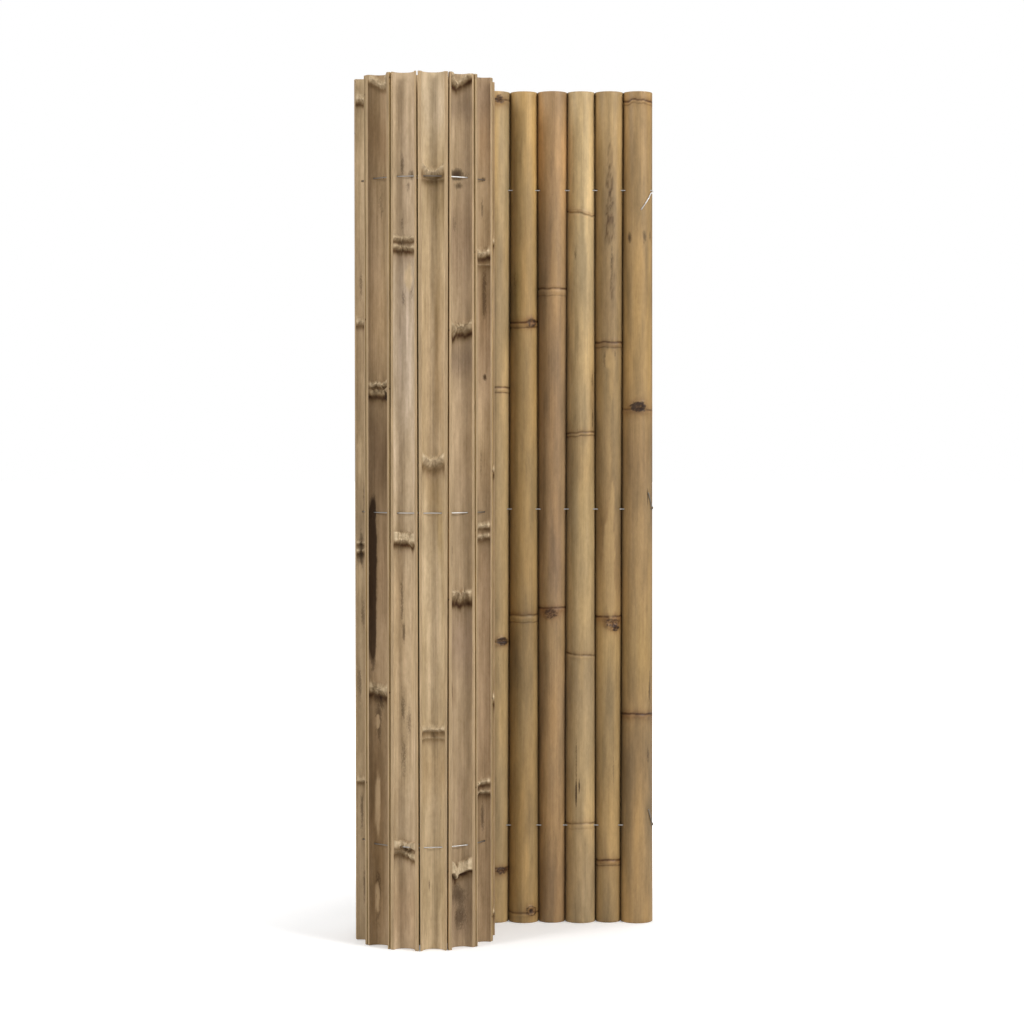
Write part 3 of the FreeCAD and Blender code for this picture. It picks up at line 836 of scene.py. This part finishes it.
def bamboo(name, fibre, fibre_gain, streak_gain, blotch_gain, mottle_gain, rough, shine, bump, bleach):
    """Bamboo with fibres along the slat, its tint and marks taken from the points."""
    material, tree, shader = start_material(name)
    grain = point_value(tree, "grain", "Vector")
    tone = point_value(tree, "tone", "Color")
    parts = add(tree, "ShaderNodeSeparateColor", {0: point_value(tree, "marks", "Color")}).outputs
    dark = parts[0]
    raw = parts[1]
    fine = grain_noise(tree, grain, fibre, fibre / 90, 3.0)
    streak = grain_noise(tree, grain, fibre / 4, fibre / 160, 3.0)
    blotch = grain_noise(tree, grain, 130.0, 26.0, 5.0, 0.65)
    spot = grain_noise(tree, grain, 800.0, 320.0, 4.0, 0.7)
    mottle = grain_noise(tree, grain, 330.0, 130.0, 4.0, 0.7)
    level = maths(tree, "MULTIPLY_ADD", fine, fibre_gain, 1.0 - fibre_gain / 2)
    for field, gain in ((streak, streak_gain), (blotch, blotch_gain), (mottle, mottle_gain)):
        level = maths(tree, "MULTIPLY_ADD", field, gain, maths(tree, "ADD", level, -gain / 2))
    fleck = fitted(tree, grain_noise(tree, grain, 900.0, 70.0, 2.0), 0.70, 0.78, 1.0, 0.72)
    level = maths(tree, "MULTIPLY", level, fleck)

    # Darker fibres are browner, paler ones greyer
    rest = tuple(1 - b for b in bleach)
    hue = vectors(tree, "MULTIPLY_ADD", {0: level, 1: bleach, 2: rest})
    base = vectors(tree, "MULTIPLY", {0: tone, 1: hue})

    # Dark marks, broken up by fine spots
    jitter = maths(tree, "MULTIPLY_ADD", spot, 1.0, -0.5)
    broken = maths(tree, "ADD", dark, jitter)
    shape = fitted(tree, broken, 0.2, 0.46, 0.0, 0.95, interpolation_type="SMOOTHSTEP")
    depth = fitted(tree, dark, 0.06, 0.72, 0.0, 1.0)
    stained = vectors(tree, "MULTIPLY", {0: base, 1: STAIN})
    base = blend(tree, maths(tree, "MULTIPLY", shape, depth), base, stained)
    tree.links.new(base, shader.inputs["Base Color"])
    gloss = maths(tree, "MULTIPLY_ADD", streak, 0.25, rough - 0.12)
    tree.links.new(gloss, shader.inputs["Roughness"])
    shader.inputs["Specular IOR Level"].default_value = shine
    height = maths(tree, "ADD", fine, maths(tree, "MULTIPLY", streak, 0.8))
    coarse = maths(tree, "MULTIPLY_ADD", raw, 0.7, 0.15)
    height = maths(tree, "MULTIPLY_ADD", spot, coarse, height)
    relief(tree, shader, bump, 0.0006, height)
    return material


def end_grain():
    """Sawn end: pale ground with the dark dots of the fibre bundles."""
    material, tree, shader = start_material("bamboo_end")
    grain = point_value(tree, "grain", "Vector")
    cells = add(tree, "ShaderNodeTexVoronoi", {"Vector": grain, "Scale": 1500.0})
    dot = fitted(tree, cells.outputs["Distance"], 0.18, 0.42, 0.5, 1.0)
    cloudy = noise(tree, {"Vector": grain, "Scale": 160.0, "Detail": 4.0})
    level = maths(tree, "MULTIPLY", dot, maths(tree, "MULTIPLY_ADD", cloudy, 0.5, 0.75))
    ground = blend(tree, cloudy, (0.50, 0.37, 0.22, 1), (0.36, 0.25, 0.14, 1))
    base = vectors(tree, "SCALE", {0: ground, "Scale": level})
    tree.links.new(base, shader.inputs["Base Color"])
    shader.inputs["Roughness"].default_value = 0.85
    relief(tree, shader, 0.5, 0.0004, dot)
    return material


def galvanised():
    """Zinc with a cloudy shine, brown where it is dull."""
    material, tree, shader = start_material("galvanised_wire")
    place = add(tree, "ShaderNodeTexCoord").outputs["Object"]
    cloudy = noise(tree, {"Vector": place, "Scale": 420.0, "Detail": 4.0})
    zinc = blend(tree, cloudy, (0.50, 0.49, 0.47, 1), (0.84, 0.83, 0.81, 1))
    base = blend(tree, point_value(tree, "dull", "Fac"), zinc, (0.16, 0.125, 0.09, 1))
    tree.links.new(base, shader.inputs["Base Color"])
    shader.inputs["Metallic"].default_value = 0.85
    gloss = maths(tree, "MULTIPLY_ADD", cloudy, 0.25, 0.3)
    tree.links.new(gloss, shader.inputs["Roughness"])
    return material


skin_material = bamboo(
    "bamboo_skin", fibre=760.0, fibre_gain=0.3, streak_gain=0.36, blotch_gain=0.6,
    mottle_gain=0.4, rough=0.5, shine=0.35, bump=0.25, bleach=(1.0, 1.03, 1.1))
hollow_material = bamboo(
    "bamboo_hollow", fibre=800.0, fibre_gain=0.55, streak_gain=0.48, blotch_gain=0.56,
    mottle_gain=0.45, rough=0.78, shine=0.2, bump=0.5, bleach=(1.0, 1.08, 1.26))
edge_material = bamboo(
    "bamboo_edge", fibre=1400.0, fibre_gain=0.5, streak_gain=0.5, blotch_gain=0.4,
    mottle_gain=0.3, rough=0.8, shine=0.2, bump=0.5, bleach=(1.0, 1.08, 1.26))
end_material = end_grain()
wire_material = galvanised()


# Wires.  A tail climbs along its slat by the first number, in millimetres, and goes round it by the
# second, in degrees.  What lies more than TAIL_FROM right of the first slat's axis is tail.
TAILS = {"wire_top": (-24.0, 54.0), "wire_middle": (20.0, 24.0), "wire_bottom": (20.0, 24.0)}
TAIL_FROM = 9.0
TAIL_STUB = 0.8
TAIL_GAP = 0.3


def tube(path, radius, sides=10):
    """Points and faces of a round wire along a path."""
    path = np.array(path)
    ahead = np.gradient(path, axis=0)
    ahead /= np.linalg.norm(ahead, axis=1)[:, None]
    up = np.array([0.0, 0.0, 1.0])
    across = np.cross(ahead, up)
    across /= np.linalg.norm(across, axis=1)[:, None]
    over = np.cross(across, ahead)
    turn = (np.arange(sides) * 2 * math.pi / sides)[None, :, None]
    ring = np.cos(turn) * across[:, None] + np.sin(turn) * over[:, None]
    spots = path[:, None] + radius * ring
    index = np.arange(len(path) * sides).reshape(len(path), sides)
    onward = np.roll(index, -1, axis=1)
    quads = np.stack([index[:-1], onward[:-1], onward[1:], index[1:]], axis=-1)
    faces = quads.reshape(-1, 4).tolist()
    faces += [index[0, ::-1].tolist(), index[-1].tolist()]
    return spots.reshape(-1, 3), [f[::-1] for f in faces]


def rounded(path, pieces=4, reach=1.6):
    """The path with each bend eased."""
    eased = [path[0]]
    for a, b, c in zip(path, path[1:], path[2:]):
        back = min(reach, 0.45 * np.linalg.norm(b - a))
        on = min(reach, 0.45 * np.linalg.norm(c - b))
        p = b + (a - b) / np.linalg.norm(a - b) * back
        q = b + (c - b) / np.linalg.norm(c - b) * on
        for t in np.linspace(0, 1, pieces):
            eased.append((1 - t) ** 2 * p + 2 * t * (1 - t) * b + t * t * q)
    eased.append(path[-1])
    return eased


def tail(slat, outward, height, rise, wrap, bends=8):
    """End of a wire: out of the last hole and laid back over the round side."""
    reach = radius_at(slat["radii"], height) + WIRE_RADIUS + TAIL_GAP
    start = math.asin(WIRE_DEPTH / (reach + TAIL_STUB))
    stops = [((reach + TAIL_STUB) * math.cos(start), WIRE_DEPTH, 0.0)]
    stops.append((stops[0][0] + TAIL_STUB / 2, WIRE_DEPTH + 1.5 * TAIL_STUB, rise / 8))
    for k in range(1, bends + 1):
        turn = start + math.radians(wrap) * k / bends
        stops.append((reach * math.cos(turn), reach * math.sin(turn), rise * k / bends))
    line = []
    for a, b, c in stops:
        flat = slat["axis"] + outward * a + slat["crown"] * b
        line.append(np.array([flat[0], flat[1], height + c]))
    return line


def meeting(p, a, q, b):
    """Where two lines in plan meet, or the middle between them if they run alike."""
    turn = a[0] * b[1] - a[1] * b[0]
    if abs(turn) < 1e-4:
        return (p + q) / 2
    t = ((q - p)[0] * b[1] - (q - p)[1] * b[0]) / turn
    return p + a * t


def dullness(name, spot):
    """How dull a wire is at a point, by the slat that is nearest in plan."""
    if spot[0] > slats[0]["axis"][0] + TAIL_FROM:
        return TAIL_DARKENING[name]
    i = min(range(len(slats)), key=lambda k: np.hypot(*(spot[:2] - holes[k])))
    if slats[i]["flap"]:
        return FLAP_DULL
    return dict(zip(FRONT, DULL[name])).get(slats[i]["name"], ROLL_DULL)


slats = [build_slat(i) for i in range(1, SLATS + 1)]
holes = [s["axis"] + s["crown"] * WIRE_DEPTH for s in slats]
for name, height in WIRES.items():
    path = tail(slats[0], slats[0]["across"], height, *TAILS[name])[::-1]
    for i in range(len(slats) - 1):
        bend = meeting(holes[i], slats[i]["across"], holes[i + 1], slats[i + 1]["across"])
        path.append(np.array([bend[0], bend[1], height]))
    path += tail(slats[-1], -slats[-1]["across"], height, *TAILS[name])
    spots, faces = tube(rounded(path), WIRE_RADIUS)
    mesh = bpy.data.meshes.new(name + "_look")
    mesh.from_pydata((spots * MM).tolist(), [], faces)
    mesh.polygons.foreach_set("use_smooth", [True] * len(faces))
    mesh.update()
    give(mesh, "dull", "FLOAT", "value", [dullness(name, spot) for spot in spots])
    mesh.materials.append(wire_material)
    piece = bpy.data.objects.new(name + "_look", mesh)
    bpy.context.scene.collection.objects.link(piece)
    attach(piece, "root")
    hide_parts(name)


# Floor, light and camera, in metres.  A light has a name, place, aim, width and power.
FLOOR_HALF = 30.0
FLOOR_LOW = -0.0003
WORLD_LIGHT = 0.38
LIGHTS = [
    ("key", (2.6, -1.9, 2.3), (0.0, 0.0, 0.62), 1.2, 86.0),
    ("top", (0.0, 0.6, 2.9), (0.0, 0.1, 0.0), 2.4, 30.0),
    ("left", (-2.6, -1.9, 1.9), (0.0, 0.0, 0.6), 1.2, 52.0),
    ("front", (0.3, -3.4, 1.9), (0.0, 0.0, 0.6), 1.6, 10.0),
]
CAMERA_PLACE = (0.0056, -2.803, 0.584)
CAMERA_DOWN = 1.74
SENSOR_WIDTH = 36.0
LENS = 84.15


def make_floor():
    """Pale floor: it takes the shadow, and reads white where the object doesn't shade it."""
    material, tree, shader = start_material("floor_white")
    cloudy = noise(tree, {"Scale": 3.0})
    base = blend(tree, cloudy, (0.88, 0.88, 0.88, 1), (0.90, 0.90, 0.90, 1))
    tree.links.new(base, shader.inputs["Base Color"])
    shader.inputs["Roughness"].default_value = 0.9
    shader.inputs["Specular IOR Level"].default_value = 0.1
    shader.inputs["Emission Color"].default_value = (1, 1, 1, 1)
    place = add(tree, "ShaderNodeNewGeometry").outputs["Position"]
    away = add(tree, "ShaderNodeVectorMath", {0: place}, operation="LENGTH").outputs["Value"]
    glow = fitted(tree, away, 0.25, 0.9, 0.2, 0.9)
    ray = add(tree, "ShaderNodeLightPath").outputs["Is Camera Ray"]
    tree.links.new(maths(tree, "MULTIPLY", glow, ray), shader.inputs["Emission Strength"])
    mesh = bpy.data.meshes.new("floor")
    signs = ((-1, -1), (1, -1), (1, 1), (-1, 1))
    corners = [(sx * FLOOR_HALF, sy * FLOOR_HALF, FLOOR_LOW) for sx, sy in signs]
    mesh.from_pydata(corners, [], [(0, 1, 2, 3)])
    mesh.materials.append(material)
    floor = bpy.data.objects.new("floor", mesh)
    bpy.context.scene.collection.objects.link(floor)


def area_light(name, place, target, size, power):
    """A round soft light that faces its target."""
    lamp = bpy.data.lights.new(name, "AREA")
    lamp.shape = "DISK"
    lamp.size = size
    lamp.energy = power
    holder = bpy.data.objects.new(name, lamp)
    holder.location = place
    aim = np.array(target) - np.array(place)
    holder.rotation_euler = Vector(aim).to_track_quat("-Z", "Y").to_euler()
    bpy.context.scene.collection.objects.link(holder)


def make_world():
    """White where it is seen, dimmer as a light."""
    world = bpy.data.worlds.new("studio")
    world.use_nodes = True
    tree = world.node_tree
    tree.nodes.clear()
    out = add(tree, "ShaderNodeOutputWorld")
    seen = add(tree, "ShaderNodeBackground", {"Color": (1, 1, 1, 1), "Strength": 1.0})
    light = add(tree, "ShaderNodeBackground", {"Color": (1, 1, 1, 1), "Strength": WORLD_LIGHT})
    ray = add(tree, "ShaderNodeLightPath").outputs["Is Camera Ray"]
    mix = add(tree, "ShaderNodeMixShader", {0: ray, 1: light.outputs[0], 2: seen.outputs[0]})
    tree.links.new(mix.outputs[0], out.inputs[0])
    bpy.context.scene.world = world


make_floor()
make_world()
for light in LIGHTS:
    area_light(*light)

camera = bpy.data.cameras.new("camera")
camera.sensor_width = SENSOR_WIDTH
camera.lens = LENS
holder = bpy.data.objects.new("camera", camera)
holder.location = CAMERA_PLACE
holder.rotation_euler = (math.radians(90 - CAMERA_DOWN), 0.0, 0.0)
bpy.context.scene.collection.objects.link(holder)
bpy.context.scene.camera = holder
bpy.context.scene.view_settings.view_transform = "Standard"
